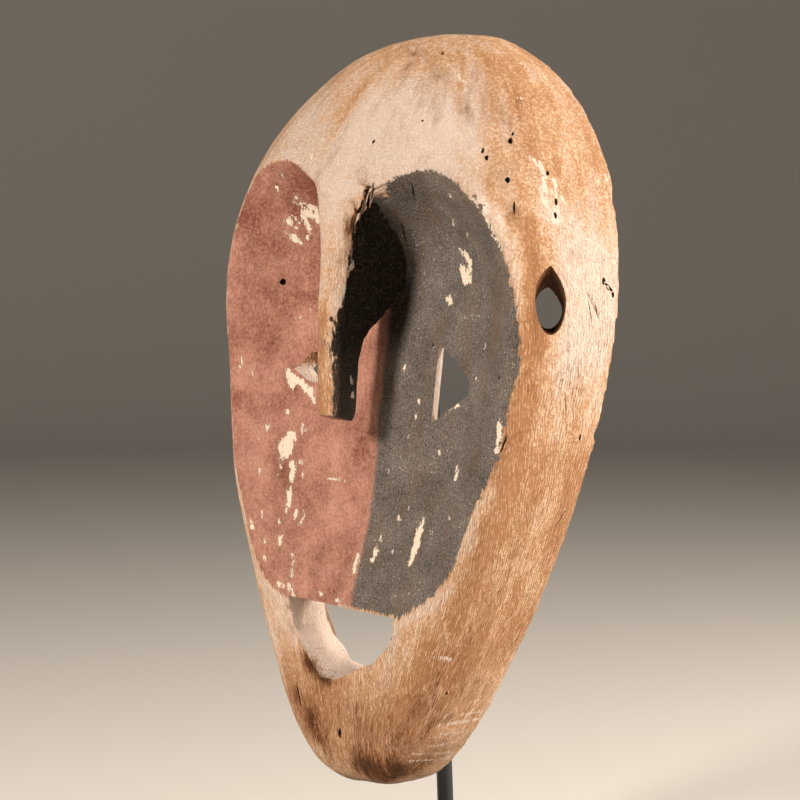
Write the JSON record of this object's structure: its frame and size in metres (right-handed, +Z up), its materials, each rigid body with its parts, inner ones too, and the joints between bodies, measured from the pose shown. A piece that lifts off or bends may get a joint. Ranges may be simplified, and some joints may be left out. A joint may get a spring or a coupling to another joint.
{
  "type": "carved wooden face mask on a stand",
  "caption": "Tall oval carved face mask with a free-hanging nose blade, slit eyes and open mouth, hollow behind, held on a thin rod and flat foot.",
  "frame": {"origin": "middle of the underside of the stand's foot", "axes": "+Z up, the mask faces -Y, its own left side is +X"},
  "size_m": [0.2658, 0.15, 0.502],
  "materials": {
    "carved_wood": "bare and worn, half of the face with matt red paint and half with matt black paint",
    "stand_steel": "satin black"
  },
  "bodies": {
    "root": {"mask": "carved_wood", "stand_rod": "stand_steel", "stand_foot": "stand_steel"}
  },
  "joints": []
}
